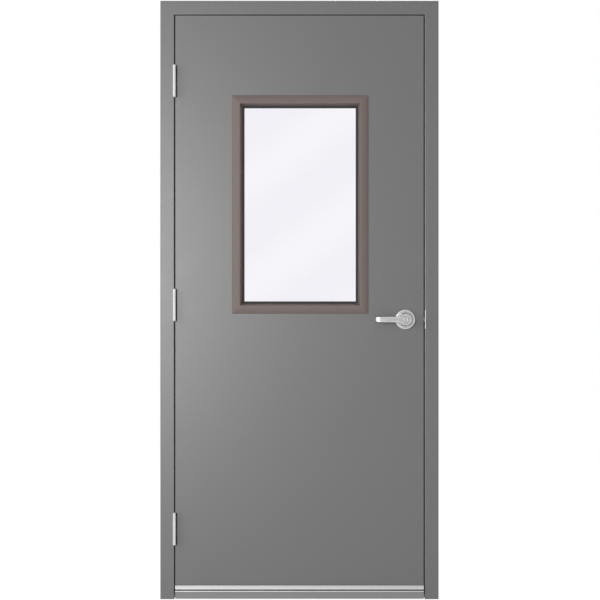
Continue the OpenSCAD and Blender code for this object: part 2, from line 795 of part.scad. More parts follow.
module front_skin() {
    color(steel_grey)
    difference() {
        skin();
        skin_cuts();
        at_sweep_screws()
            cylinder(r = sweep_shank_r + screw_fit, h = 2 * door_t / 3, center = true);
    }
}

module back_skin() {
    color(steel_grey)
    difference() {
        translate([0, 2 * door_mid, 0])
            mirror([0, 1, 0])
                skin();
        skin_cuts();
    }
}

// Channel between the face sheets, with its web up
module end_channel(web_z) {
    half_l = door_w / 2 - skin_t - skin_bend_r;
    translate([-half_l, door_mid, web_z])
        rotate([90, 0, 90])
            linear_extrude(2 * half_l)
                sheet_section([[inner_half, -channel_d], [inner_half, 0], [-inner_half, 0],
                               [-inner_half, -channel_d]], channel_t, channel_t / 2);
}

module top_channel() {
    color(steel_grey)
    end_channel(door_top);
}

module bottom_channel() {
    color(steel_grey)
    difference() {
        end_channel(undercut + channel_d);
        at_sweep_screws()
            cylinder(r = sweep_shank_r + screw_fit, h = 2 * door_t / 3, center = true);
    }
}

// Upright channels that tie the two face sheets together, broken where the panel is
module stiffeners() {
    low = undercut + channel_d + seat_gap;
    high = door_top - channel_d - seat_gap;
    reach = liner_flange + seat_gap;
    color(inner_steel)
    for (i = [1:stiffener_count]) {
        x = -door_w / 2 + i * stiffener_pitch;
        difference() {
            translate([x - stiffener_flange / 2, door_mid, low])
                linear_extrude(high - low)
                    sheet_section([[stiffener_flange, inner_half], [0, inner_half], [0, -inner_half],
                                   [stiffener_flange, -inner_half]], stiffener_t, stiffener_t);
            block([lite_x - lite_w / 2 - reach, door_front, lite_z - lite_h / 2 - reach],
                  [lite_x + lite_w / 2 + reach, door_back, lite_z + lite_h / 2 + reach]);
        }
    }
}

// Channel behind the latch's faceplate, with its flanges on the face sheets
module lock_reinforcement() {
    low_z = lock_z - lock_plate_h / 2;
    high_z = lock_z + lock_plate_h / 2;
    web_x = latch_edge - faceplate_t;
    end_x = web_x - lock_plate_d;
    web_half = inner_half - skin_bend_r;
    color(inner_steel)
    difference() {
        union() {
            block([web_x - lock_plate_t, door_mid - web_half, low_z], [web_x, door_mid + web_half, high_z]);
            for (side = [-1, 1])
                translate([0, door_mid + side * (inner_half - lock_plate_t / 2), 0])
                    block([end_x, -lock_plate_t / 2, low_z],
                          [latch_edge - skin_t - skin_bend_r, lock_plate_t / 2, high_z]);
        }
        translate([lock_x, door_mid, lock_z])
            rotate([90, 0, 0])
                cylinder(r = lock_bore_r, h = 2 * door_t, center = true);
        translate([web_x, door_mid, lock_z])
            rotate([0, 90, 0])
                cylinder(r = case_r + screw_fit, h = 4 * lock_plate_t, center = true);
        at_plate_screws(latch_edge, faceplate_screw_span, 1)
            translate([0, 0, -small_screw_l])
                cylinder(r = small_shank_r + screw_fit, h = small_screw_l);
    }
}

// A mitred ring of outer size w by h, whose section has u from the outer edge inwards and v upwards
module mitred_ring(w, h, reach)
    for (quarter = [0:3]) {
        l = quarter % 2 == 0 ? w : h;
        across = quarter % 2 == 0 ? h : w;
        rotate([0, 0, 90 * quarter])
            intersection() {
                translate([-l / 2, -across / 2, 0])
                    rotate([90, 0, 90])
                        linear_extrude(l)
                            children();
                linear_extrude(4 * door_t, center = true)
                    polygon([[-l / 2, -across / 2], [l / 2, -across / 2],
                             [l / 2 - reach, -across / 2 + reach], [-l / 2 + reach, -across / 2 + reach]]);
            }
    }

// Turns a shape drawn flat upright, with +Z towards the pull side, and moves it to the panel's middle
module at_lite(y)
    translate([lite_x, y, lite_z])
        rotate([90, 0, 0])
            children();

// Mirrors what is made for the pull side on to the push side
module push_side()
    translate([0, 2 * door_mid, 0])
        mirror([0, 1, 0])
            children();

// Steel channel round the cut-out, between the face sheets
module lite_liner() {
    color(inner_steel)
    at_lite(door_mid)
        mitred_ring(lite_w + 2 * liner_flange, lite_h + 2 * liner_flange, liner_flange)
            sheet_section([[0, -inner_half], [liner_flange, -inner_half], [liner_flange, inner_half],
                           [0, inner_half]], channel_t, channel_t / 2);
}

// Height of the panel frame's face above the door at a distance u from its outer edge
function crown(u) = lite_edge_h + (lite_rise - lite_edge_h) * (1 - pow(1 - u / lite_face_w, lite_crown));

// Half of the panel's frame: a crowned face, a slanting inner side and a flange on the gasket
module lite_frame() {
    step = lite_face_w / crown_steps;
    face = [for (i = [crown_steps:-1:0]) [i * step, crown(i * step)]];
    at_lite(door_front)
        mitred_ring(trim_w, trim_h, sight_u)
            sheet_section(concat([[lite_lap + lite_t, flange_v], [flange_u, flange_v]], face, [[0, 0]]),
                          lite_t, lite_bend_r);
}

// Places of the clamping screws, with heads towards the push side
module at_lite_screws() {
    side_x = trim_w / 2 - lite_screw_inset;
    side_z = trim_h / 2 - lite_screw_inset;
    step_z = trim_h / lite_screws_z;
    translate([lite_x, door_back + lite_screw_top, lite_z])
        rotate([-90, 0, 0]) {
            for (i = [-1:1], up = [-1, 1])
                translate([i * trim_w / 3, up * side_z, 0])
                    children();
            for (i = [0:lite_screws_z - 1], side = [-1, 1])
                translate([side * side_x, (i - (lite_screws_z - 1) / 2) * step_z, 0])
                    children();
        }
}

module lite_frame_front() {
    color(bronze)
    difference() {
        lite_frame();
        at_lite_screws()
            translate([0, 0, -lite_screw_l - eps])
                cylinder(r = small_shank_r + screw_fit, h = lite_screw_l);
    }
}

module lite_frame_back() {
    color(bronze)
    difference() {
        push_side()
            lite_frame();
        at_lite_screws()
            screw_hole(small_head_r, small_shank_r, lite_screw_l);
    }
}

module lite_screws() {
    color(bronze)
    at_lite_screws()
        flat_screw(small_head_r, small_shank_r, lite_screw_l);
}

module glass() {
    color("#dfe9ee", 0.4)
    translate([lite_x, door_mid, lite_z])
        cube([glass_w, glass_t, glass_h], center = true);
}

// Rubber ring between the glass and one half of the panel's frame
module gasket() {
    sight_w = trim_w - 2 * sight_u;
    sight_h = trim_h - 2 * sight_u;
    translate([lite_x, door_mid - (glass_t + gasket_t) / 2, lite_z])
        difference() {
            cube([glass_w, gasket_t, glass_h], center = true);
            cube([sight_w, gasket_t + 2 * eps, sight_h], center = true);
        }
}

module gasket_front() {
    color(dark)
    gasket();
}

module gasket_back() {
    color(dark)
    push_side()
        gasket();
}

// Rubber blocks that carry the glass on the cut-out's lower side
module setting_blocks() {
    half_t = flange_half - seat_gap;
    color(dark)
    for (side = [-1, 1])
        translate([lite_x + side * trim_w / 6, door_mid, lite_z])
            block([-block_l / 2, -half_t, -lite_h / 2], [block_l / 2, half_t, -glass_h / 2]);
}

// Places of the sweep's screws in its groove, with heads towards the pull side
module at_sweep_screws() {
    step = door_w / sweep_screws_n;
    for (i = [0:sweep_screws_n - 1])
        translate([(i - (sweep_screws_n - 1) / 2) * step, door_front - groove_t, sweep_screw_z])
            rotate([90, 0, 0])
                children();
}

// Runs a section with y outwards from the door's face and z up along the door's width
module along_sweep()
    translate([-sweep_l / 2, door_front, holder_z])
        rotate([90, 0, 90])
            linear_extrude(sweep_l)
                children();

// Aluminium extrusion: an upper plate with a fine line, a groove, and a round bead that grips the flap
module sweep_holder() {
    bead_r = bead_h / 2;
    slot_y = -bead_d / 2;
    color(silver)
    difference() {
        along_sweep()
            difference() {
                polygon(concat([[0, 0]], arc([-bead_d + bead_edge_r, bead_edge_r], bead_edge_r, 270, 180, 4),
                               arc([-bead_d + bead_r, bead_h - bead_r], bead_r, 180, 90, 6),
                               [[-groove_t, bead_h], [-groove_t, plate_low], [-holder_t, plate_low],
                                [-holder_t, score_v - score_d], [-holder_t + score_d, score_v],
                                [-holder_t, score_v + score_d], [-holder_t, holder_h - score_d],
                                [-holder_t + score_d, holder_h], [0, holder_h]]));
                translate([slot_y - flap_t / 2, -eps])
                    square([flap_t, flap_in + eps]);
            }
        at_sweep_screws()
            screw_hole(sweep_head_r, sweep_shank_r, groove_t);
    }
}

// Flexible grey flap in the holder's slot
module sweep_flap() {
    color("#8b8d8f")
    along_sweep()
        translate([-bead_d / 2 - flap_t / 2, flap_gap - holder_z])
            square([flap_t, holder_z + flap_in - flap_gap]);
}

module sweep_screws() {
    color(silver)
    at_sweep_screws()
        flat_screw(sweep_head_r, sweep_shank_r, small_screw_l);
}

// Moves a shape drawn with +Z away from the door to the lock's axis on the pull side
module at_lock()
    translate([lock_x, door_front, lock_z])
        rotate([90, 0, 0])
            children();

// Round body across the door, with a flat above and below for the bolts
module lock_chassis() {
    flat_z = bolt_offset - post_r - seat_gap;
    color(inner_steel)
    translate([lock_x, door_mid, lock_z])
        rotate([90, 0, 0])
            difference() {
                intersection() {
                    cylinder(r = lock_bore_r - seat_gap, h = door_t, center = true);
                    cube([4 * lock_bore_r, 2 * flat_z, 2 * door_t], center = true);
                }
                cylinder(r = spindle_turn_r, h = 2 * door_t, center = true);
            }
}

// Tube behind the faceplate, in which the latch slides
module latch_case() {
    color(inner_steel)
    translate([latch_edge - faceplate_t, door_mid, lock_z])
        rotate([0, -90, 0])
            difference() {
                cylinder(r = case_r, h = case_l);
                translate([0, 0, -eps])
                    cylinder(r = case_r - case_wall, h = case_l - case_wall + eps);
            }
}

module latch_faceplate() {
    hole_w = latch_w / 2 + latch_fit;
    hole_h = latch_h / 2 + latch_fit;
    color(silver)
    difference() {
        block([latch_edge - faceplate_t, door_mid - faceplate_w / 2, lock_z - faceplate_h / 2],
              [latch_edge, door_mid + faceplate_w / 2, lock_z + faceplate_h / 2]);
        block([latch_edge - faceplate_t - eps, door_mid - hole_w, lock_z - hole_h],
              [latch_edge + eps, door_mid + hole_w, lock_z + hole_h]);
        at_plate_screws(latch_edge, faceplate_screw_span, 1)
            screw_hole(small_head_r, small_shank_r, faceplate_t);
    }
}

module faceplate_screws() {
    color(silver)
    at_plate_screws(latch_edge, faceplate_screw_span, 1)
        flat_screw(small_head_r, small_shank_r, small_screw_l);
}

// Latch with its slope towards the push side, so that it rides over the strike's lip as the door shuts
module latch_bolt() {
    half = latch_w / 2;
    nose = half / 3;
    color(silver)
    translate([latch_edge, door_mid, lock_z - latch_h / 2])
        linear_extrude(latch_h)
            polygon([[-faceplate_t - latch_tail, -half], [latch_throw, -half], [latch_throw, -half + nose],
                     [seat_gap, half], [-faceplate_t - latch_tail, half]]);
}

// Pressed cup with a sleeve in its middle that carries the lever's shank
module rose_cup() {
    bore = shank_r + shank_fit;
    sleeve = bore + rose_wall;
    inner_r = rose_shoulder_r - rose_wall;
    middle = [rose_r - rose_shoulder_r, rose_h - rose_shoulder_r];
    rotate_extrude($fn = 96)
        polygon(concat([[bore, 0], [sleeve, 0], [sleeve, rose_h - rose_wall]],
                       arc(middle, inner_r, 90, 0, 6), [[rose_r - rose_wall, 0], [rose_r, 0]],
                       arc(middle, rose_shoulder_r, 0, 90, 8), [[bore, rose_h]]));
}

module at_bolts()
    for (side = [-1, 1])
        translate([0, side * bolt_offset, 0])
            children();

module outside_rose() {
    color(silver)
    at_lock()
        difference() {
            union() {
                rose_cup();
                at_bolts()
                    translate([0, 0, -post_l])
                        cylinder(r = post_r, h = post_l + rose_h - rose_wall / 2);
            }
            at_bolts()
                translate([0, 0, -post_l - eps])
                    cylinder(r = bolt_r + screw_fit, h = post_l + eps);
        }
}

module inside_rose() {
    color(silver)
    push_side()
        at_lock()
            difference() {
                rose_cup();
                at_bolts()
                    translate([0, 0, rose_h])
                        screw_hole(small_head_r, bolt_r, rose_h);
            }
}

// Bolts from the inside rose into the outside rose's posts
module rose_bolts() {
    color(silver)
    push_side()
        at_lock()
            at_bolts()
                translate([0, 0, rose_h])
                    flat_screw(small_head_r, bolt_r, bolt_l);
}

// Long round outline of the lever's bar: t across and h high
module bar_section(t, h) {
    square([t, h - t], center = true);
    for (side = [-1, 1])
        translate([0, side * (h - t) / 2])
            circle(d = t);
}

// Shank and hub of a lever, turned about the lock's axis
module lever_hub() {
    base = rose_h + seat_gap;
    rotate_extrude($fn = 96)
        polygon(concat([[0, seat_gap], [shank_r, seat_gap], [shank_r, base], [hub_base_r, base]],
                       arc([hub_r - hub_edge_r, hub_out - hub_edge_r], hub_edge_r, 0, 90, 6),
                       [[0, hub_out]]));
}

// Bar that tapers out of the hub towards -X and turns back to the door at its tip
module lever_bar() {
    bend_x = -lever_reach + lever_t / 2 + lever_bend_r;
    bend_h = bar_y - lever_bend_r;
    tip_h = tip_gap + lever_t / 2;
    translate([0, 0, bar_y])
        rotate([0, -90, 0])
            linear_extrude(-bend_x)
                bar_section(lever_t, lever_h);
    translate([0, 0, bar_y])
        rotate([0, -90, 0])
            hull() {
                translate([0, 0, hub_r / 2])
                    linear_extrude(neck_slice)
                        bar_section(lever_t, neck_h, $fn = 32);
                translate([0, 0, hub_r + neck_l])
                    linear_extrude(neck_slice)
                        bar_section(lever_t, lever_h, $fn = 32);
            }
    translate([bend_x, 0, bend_h])
        rotate([90, 0, 0])
            rotate([0, 0, 90])
                rotate_extrude(angle = 90)
                    translate([lever_bend_r, 0])
                        bar_section(lever_t, lever_h);
    translate([bend_x - lever_bend_r, 0, tip_h]) {
        linear_extrude(bend_h - tip_h)
            bar_section(lever_t, lever_h);
        rotate([90, 0, 0])
            rotate_extrude()
                intersection() {
                    bar_section(lever_t, lever_h);
                    translate([0, -lever_h])
                        square(2 * lever_h);
                }
    }
}

// A lever with the socket for the spindle
module lever()
    difference() {
        union() {
            lever_hub();
            lever_bar();
        }
        translate([0, 0, spindle_in / 2])
            cube([spindle_w + 2 * spindle_fit, spindle_w + 2 * spindle_fit, spindle_in + 2 * spindle_fit],
                 center = true);
    }

module outside_lever() {
    color(silver)
    at_lock()
        difference() {
            lever();
            translate([0, 0, hub_out - cylinder_l])
                cylinder(r = cylinder_r + screw_fit, h = cylinder_l + eps);
        }
}

module inside_lever() {
    color(silver)
    push_side()
        at_lock()
            difference() {
                lever();
                translate([0, 0, hub_out - button_in])
                    cylinder(r = button_r + turn_fit, h = button_in + eps);
            }
}

module spindle() {
    color(inner_steel)
    translate([lock_x, door_mid, lock_z])
        cube([spindle_w, door_t + 2 * spindle_in, spindle_w], center = true);
}

// Housing of the key cylinder, pressed into the outside lever's hub
module key_cylinder() {
    rim = plug_out;
    color(silver)
    at_lock()
        translate([0, 0, hub_out])
            rotate_extrude()
                polygon([[0, -cylinder_l], [cylinder_r, -cylinder_l], [cylinder_r, 0],
                         [cylinder_r - rim, rim], [plug_r + turn_fit, rim],
                         [plug_r + turn_fit, -cylinder_l + cylinder_floor],
                         [0, -cylinder_l + cylinder_floor]]);
}

// Plug with the keyway, which a key turns
module key_plug() {
    low = -cylinder_l + cylinder_floor + seat_gap;
    color(silver)
    at_lock()
        translate([0, 0, hub_out])
            difference() {
                translate([0, 0, low])
                    cylinder(r = plug_r, h = plug_out - low);
                translate([-keyway_w / 2, -keyway_h / 2, low + keyway_floor])
                    cube([keyway_w, keyway_h, cylinder_l]);
            }
}

// Turn button of the inside lever, with a wing for the fingers
module turn_button() {
    color(silver)
    push_side()
        at_lock()
            translate([0, 0, hub_out]) {
                translate([0, 0, -button_in + seat_gap])
                    cylinder(r = button_r, h = button_in);
                intersection() {
                    translate([-wing_w / 2, -button_r, 0])
                        cube([wing_w, 2 * button_r, wing_h]);
                    translate([0, 0, wing_h - button_r])
                        rotate([0, 90, 0])
                            cylinder(r = button_r, h = 2 * wing_w, center = true);
                }
            }
}

hinge_jamb();
strike_jamb();
header();
frame_hinge_plates();
strike_reinforcement();
strike_box();
strike_plate();
strike_screws();
hinge_floor_anchor();
strike_floor_anchor();
wall_anchors();
silencers();
bottom_hinge_frame_leaf();
middle_hinge_frame_leaf();
top_hinge_frame_leaf();
bottom_hinge_pin();
middle_hinge_pin();
top_hinge_pin();
frame_hinge_screws();
front_skin();
back_skin();
top_channel();
bottom_channel();
stiffeners();
door_hinge_plates();
lock_reinforcement();
lite_liner();
bottom_hinge_door_leaf();
middle_hinge_door_leaf();
top_hinge_door_leaf();
door_hinge_screws();
lite_frame_front();
lite_frame_back();
lite_screws();
glass();
gasket_front();
gasket_back();
setting_blocks();
sweep_holder();
sweep_flap();
sweep_screws();
lock_chassis();
latch_case();
latch_faceplate();
faceplate_screws();
outside_rose();
inside_rose();
rose_bolts();
outside_lever();
inside_lever();
spindle();
key_cylinder();
key_plug();
turn_button();
latch_bolt();
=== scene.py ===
"""Dresses the glazed steel door and its frame in paint, metal, rubber and glass and lights them."""

from __future__ import annotations

import logging
import math
from dataclasses import dataclass, field
from enum import Enum
from functools import cached_property
from typing import Iterable, Sequence

import bpy
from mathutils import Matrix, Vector


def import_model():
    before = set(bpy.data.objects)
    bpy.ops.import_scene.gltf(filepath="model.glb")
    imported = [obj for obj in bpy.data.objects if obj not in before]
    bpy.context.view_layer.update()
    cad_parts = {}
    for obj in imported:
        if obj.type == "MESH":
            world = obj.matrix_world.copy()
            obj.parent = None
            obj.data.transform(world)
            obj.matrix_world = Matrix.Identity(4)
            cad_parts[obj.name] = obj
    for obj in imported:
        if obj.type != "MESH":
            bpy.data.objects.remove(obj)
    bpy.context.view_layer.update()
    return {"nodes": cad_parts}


LOG = logging.getLogger("glazed_door")
UPRIGHT = math.radians(90.0)

Colour = tuple[float, float, float]
Triple = tuple[float, float, float]


class Socket(Enum):
    """Kinds of sockets on a node group."""

    VECTOR = "NodeSocketVector"
    COLOUR = "NodeSocketColor"
    VALUE = "NodeSocketFloat"


class GrainAxis(Enum):
    """Direction in which a grain runs, as the stretch of its noise along X, Y and Z."""

    ALONG_X = (4.0, 420.0, 420.0)
    ALONG_Y = (420.0, 4.0, 420.0)
    ALONG_Z = (420.0, 420.0, 4.0)


@dataclass(frozen=True)
class Noise:
    """A noise texture: its scale, its octaves, the weight of the finer ones and its warp."""

    scale: float
    detail: float
    roughness: float
    warp: float = 0.0


@dataclass(frozen=True)
class Band:
    """A range of values."""

    low: float
    high: float


UNIT = Band(0.0, 1.0)
MIDDLE = Band(0.3, 0.7)

FINE_DIMPLES = Noise(520.0, 2.0, 0.45)
BROAD_DIMPLES = Noise(90.0, 2.0, 0.5)
BROAD_DIMPLE_SHARE = 0.6
SLOW_TONE = Noise(2.2, 4.0, 0.55)
SLOW_TONE_SHARE = 0.7
TONE_FLECKS = Noise(160.0, 3.0, 0.6)
TONE_FLECK_SHARE = 0.3
MEAN_TONE = 0.5
GRAIN_LINES = Noise(3.0, 4.0, 0.6)
GRAIN_LINE_SHARE = 0.6
GRAIN_PATCHES = Noise(30.0, 3.0, 0.5)
GRAIN_PATCH_SHARE = 0.4
HAND_SMEARS = Noise(9.0, 5.0, 0.6, 0.8)
HAND_SMEAR_BAND = Band(0.45, 0.8)
# Clouds that break up the painted shade in recesses.
SHADE_CLOUDS = Noise(140.0, 3.0, 0.6)
SHADE_CLOUD_BAND = Band(0.3, 0.5)
SHADE_STRENGTH = Band(0.85, 1.0)


def opaque(colour: Iterable[float]) -> tuple[float, ...]:
    """Adds full alpha to a colour.

    Args:
        colour: Red, green and blue.

    Returns:
        Red, green, blue and alpha.
    """
    return (*colour, 1.0)


class NodeTools:
    """Small helpers for laying out shader nodes."""

    @staticmethod
    def group(name: str, inputs: Sequence[tuple[str, Socket, object]],
              outputs: Sequence[tuple[str, Socket]],
              ) -> tuple[bpy.types.NodeTree, bpy.types.Node, bpy.types.Node]:
        """Starts a shader node group, whose first input is a position.

        Args:
            name: Name of the group.
            inputs: Name, kind and default value of each further input.
            outputs: Name and kind of each output.

        Returns:
            The group's tree, its input node and its output node.
        """
        tree = bpy.data.node_groups.new(name, "ShaderNodeTree")
        tree.interface.new_socket(name="Position", in_out="INPUT", socket_type=Socket.VECTOR.value)
        for label, kind, value in inputs:
            socket = tree.interface.new_socket(name=label, in_out="INPUT", socket_type=kind.value)
            socket.default_value = value
        for label, kind in outputs:
            tree.interface.new_socket(name=label, in_out="OUTPUT", socket_type=kind.value)
        return tree, tree.nodes.new("NodeGroupInput"), tree.nodes.new("NodeGroupOutput")

    @staticmethod
    def fill(tree: bpy.types.NodeTree, slot: bpy.types.NodeSocket, value: object) -> None:
        """Feeds an input from another socket, or sets it.

        Args:
            tree: Tree that holds the input.
            slot: The input.
            value: A socket, or the constant to set.
        """
        if isinstance(value, bpy.types.NodeSocket):
            tree.links.new(value, slot)
        else:
            slot.default_value = value

    @classmethod
    def noise(cls, tree: bpy.types.NodeTree, kind: Noise,
              where: bpy.types.NodeSocket) -> bpy.types.NodeSocket:
        """Adds a noise texture.

        Args:
            tree: Tree that takes the node.
            kind: The noise.
            where: Socket with the coordinates.

        Returns:
            The socket with the noise's value.
        """
        node = tree.nodes.new("ShaderNodeTexNoise")
        cls.fill(tree, node.inputs["Vector"], where)
        cls.fill(tree, node.inputs["Scale"], kind.scale)
        cls.fill(tree, node.inputs["Detail"], kind.detail)
        cls.fill(tree, node.inputs["Roughness"], kind.roughness)
        cls.fill(tree, node.inputs["Distortion"], kind.warp)
        return node.outputs["Fac"]

    @classmethod
    def math(cls, tree: bpy.types.NodeTree, operation: str, first: object,
             second: object) -> bpy.types.NodeSocket:
        """Adds a math node.

        Args:
            tree: Tree that takes the node.
            operation: Name of the math operation.
            first: First operand, a socket or a number.
            second: Second operand, a socket or a number.

        Returns:
            The node's output socket.
        """
        node = tree.nodes.new("ShaderNodeMath")
        node.operation = operation
        cls.fill(tree, node.inputs[0], first)
        cls.fill(tree, node.inputs[1], second)
        return node.outputs[0]

    @classmethod
    def blend(cls, tree: bpy.types.NodeTree, first: bpy.types.NodeSocket, first_share: float,
              second: bpy.types.NodeSocket, second_share: float) -> bpy.types.NodeSocket:
        """Adds up two values by their shares.

        Args:
            tree: Tree that takes the nodes.
            first: First value.
            first_share: Share of the first value.
            second: Second value.
            second_share: Share of the second value.

        Returns:
            The socket with the sum.
        """
        return cls.math(tree, "ADD", cls.math(tree, "MULTIPLY", first, first_share),
                        cls.math(tree, "MULTIPLY", second, second_share))

    @classmethod
    def vector(cls, tree: bpy.types.NodeTree, operation: str, first: object,
               second: object) -> bpy.types.Node:
        """Adds a vector math node with two vectors.

        Args:
            tree: Tree that takes the node.
            operation: Name of the vector operation.
            first: First operand, a socket or a vector.
            second: Second operand, a socket or a vector.

        Returns:
            The node.
        """
        node = tree.nodes.new("ShaderNodeVectorMath")
        node.operation = operation
        cls.fill(tree, node.inputs[0], first)
        cls.fill(tree, node.inputs[1], second)
        return node

    @classmethod
    def span(cls, tree: bpy.types.NodeTree, value: bpy.types.NodeSocket, low: float, high: float,
             source: Band = UNIT) -> bpy.types.NodeSocket:
        """Maps a value on to another range.

        Args:
            tree: Tree that takes the node.
            value: Socket to map.
            low: Result at the low end of the source range.
            high: Result at the high end of the source range.
            source: Range that is mapped.

        Returns:
            The mapped socket.
        """
        node = tree.nodes.new("ShaderNodeMapRange")
        cls.fill(tree, node.inputs["Value"], value)
        cls.fill(tree, node.inputs["From Min"], source.low)
        cls.fill(tree, node.inputs["From Max"], source.high)
        cls.fill(tree, node.inputs["To Min"], low)
        cls.fill(tree, node.inputs["To Max"], high)
        return node.outputs["Result"]

    @classmethod
    def mix(cls, tree: bpy.types.NodeTree, factor: bpy.types.NodeSocket, first: object,
            second: object) -> bpy.types.NodeSocket:
        """Mixes two colours.

        Args:
            tree: Tree that takes the node.
            factor: Share of the second colour.
            first: First colour, a socket or four numbers.
            second: Second colour, a socket or four numbers.

        Returns:
            The socket with the mixed colour.
        """
        node = tree.nodes.new("ShaderNodeMix")
        node.data_type = "RGBA"
        cls.fill(tree, node.inputs["Factor"], factor)
        cls.fill(tree, node.inputs["A"], first)
        cls.fill(tree, node.inputs["B"], second)
        return node.outputs["Result"]


class SharedEffects:
    """Node groups that more than one finish uses."""

    def __init__(self) -> None:
        """Builds the groups once."""
        self.peel = self._orange_peel()
        self.tone = self._tone_drift()
        self.grain = self._rolled_grain()
        self.handling = self._handling_marks()
        self.recess = self._recess_painted_shade()

    @staticmethod
    def _orange_peel() -> bpy.types.NodeTree:
        """Builds the fine dimples of sprayed paint.

        Returns:
            A group with the dimples' height.
        """
        tree, source, sink = NodeTools.group("sprayed_dimples", [], [("Height", Socket.VALUE)])
        where = source.outputs["Position"]
        fine = NodeTools.noise(tree, FINE_DIMPLES, where)
        broad = NodeTools.noise(tree, BROAD_DIMPLES, where)
        low = NodeTools.math(tree, "MULTIPLY", broad, BROAD_DIMPLE_SHARE)
        tree.links.new(NodeTools.math(tree, "ADD", fine, low), sink.inputs["Height"])
        return tree

    @staticmethod
    def _tone_drift() -> bpy.types.NodeTree:
        """Builds a slow drift of tone, as large painted sheets show.

        Returns:
            A group that takes a colour and an amount, and puts out the drifted colour and a mask.
        """
        tree, source, sink = NodeTools.group(
            "tone_drift",
            [("Colour", Socket.COLOUR, (0.5, 0.5, 0.5, 1.0)), ("Amount", Socket.VALUE, 0.05)],
            [("Colour", Socket.COLOUR), ("Mask", Socket.VALUE)])
        where = source.outputs["Position"]
        slow = NodeTools.noise(tree, SLOW_TONE, where)
        flecks = NodeTools.noise(tree, TONE_FLECKS, where)
        mask = NodeTools.blend(tree, slow, SLOW_TONE_SHARE, flecks, TONE_FLECK_SHARE)
        offset = NodeTools.math(tree, "SUBTRACT", mask, MEAN_TONE)
        swing = NodeTools.math(tree, "MULTIPLY", offset, source.outputs["Amount"])
        scaled = tree.nodes.new("ShaderNodeVectorMath")
        scaled.operation = "SCALE"
        tree.links.new(source.outputs["Colour"], scaled.inputs[0])
        tree.links.new(NodeTools.math(tree, "ADD", swing, 1.0), scaled.inputs["Scale"])
        tree.links.new(scaled.outputs[0], sink.inputs["Colour"])
        tree.links.new(mask, sink.inputs["Mask"])
        return tree

    @staticmethod
    def _rolled_grain() -> bpy.types.NodeTree:
        """Builds fine lines along one direction, as brushed or rolled metal has.

        Returns:
            A group that takes a stretch, and puts out the lines' height and a mask.
        """
        tree, source, sink = NodeTools.group(
            "rolled_grain", [("Stretch", Socket.VECTOR, (1.0, 1.0, 1.0))],
            [("Height", Socket.VALUE), ("Mask", Socket.VALUE)])
        where = source.outputs["Position"]
        drawn = NodeTools.vector(tree, "MULTIPLY", where, source.outputs["Stretch"])
        lines = NodeTools.noise(tree, GRAIN_LINES, drawn.outputs[0])
        patches = NodeTools.noise(tree, GRAIN_PATCHES, where)
        mask = NodeTools.blend(tree, lines, GRAIN_LINE_SHARE, patches, GRAIN_PATCH_SHARE)
        tree.links.new(lines, sink.inputs["Height"])
        tree.links.new(mask, sink.inputs["Mask"])
        return tree

    @staticmethod
    def _handling_marks() -> bpy.types.NodeTree:
        """Builds faint smears that hands and cloths leave on a surface.

        Returns:
            A group with a mask of the smears.
        """
        tree, source, sink = NodeTools.group("handling_marks", [], [("Mask", Socket.VALUE)])
        smears = NodeTools.noise(tree, HAND_SMEARS, source.outputs["Position"])
        mask = NodeTools.span(tree, smears, 0.0, 1.0, HAND_SMEAR_BAND)
        tree.links.new(mask, sink.inputs["Mask"])
        return tree

    @staticmethod
    def _recess_painted_shade() -> bpy.types.NodeTree:
        """Builds a painted shade that darkens a surface beyond a given depth along one axis.

        Returns:
            A group that takes an axis and the depths where the painted shade starts and is full,
            and puts out its mask.
        """
        tree, source, sink = NodeTools.group(
            "recess_painted_shade",
            [("Axis", Socket.VECTOR, (0.0, 1.0, 0.0)), ("Start", Socket.VALUE, 0.0),
             ("Full", Socket.VALUE, 1.0)],
            [("Mask", Socket.VALUE)])
        where = source.outputs["Position"]
        along = NodeTools.vector(tree, "DOT_PRODUCT", where, source.outputs["Axis"])
        ramp = tree.nodes.new("ShaderNodeMapRange")
        tree.links.new(along.outputs["Value"], ramp.inputs["Value"])
        tree.links.new(source.outputs["Start"], ramp.inputs["From Min"])
        tree.links.new(source.outputs["Full"], ramp.inputs["From Max"])
        clouds = NodeTools.noise(tree, SHADE_CLOUDS, where)
        broken = NodeTools.span(tree, clouds, SHADE_STRENGTH.low, SHADE_STRENGTH.high,
                                SHADE_CLOUD_BAND)
        mask = NodeTools.math(tree, "MULTIPLY", ramp.outputs["Result"], broken)
        tree.links.new(mask, sink.inputs["Mask"])
        return tree


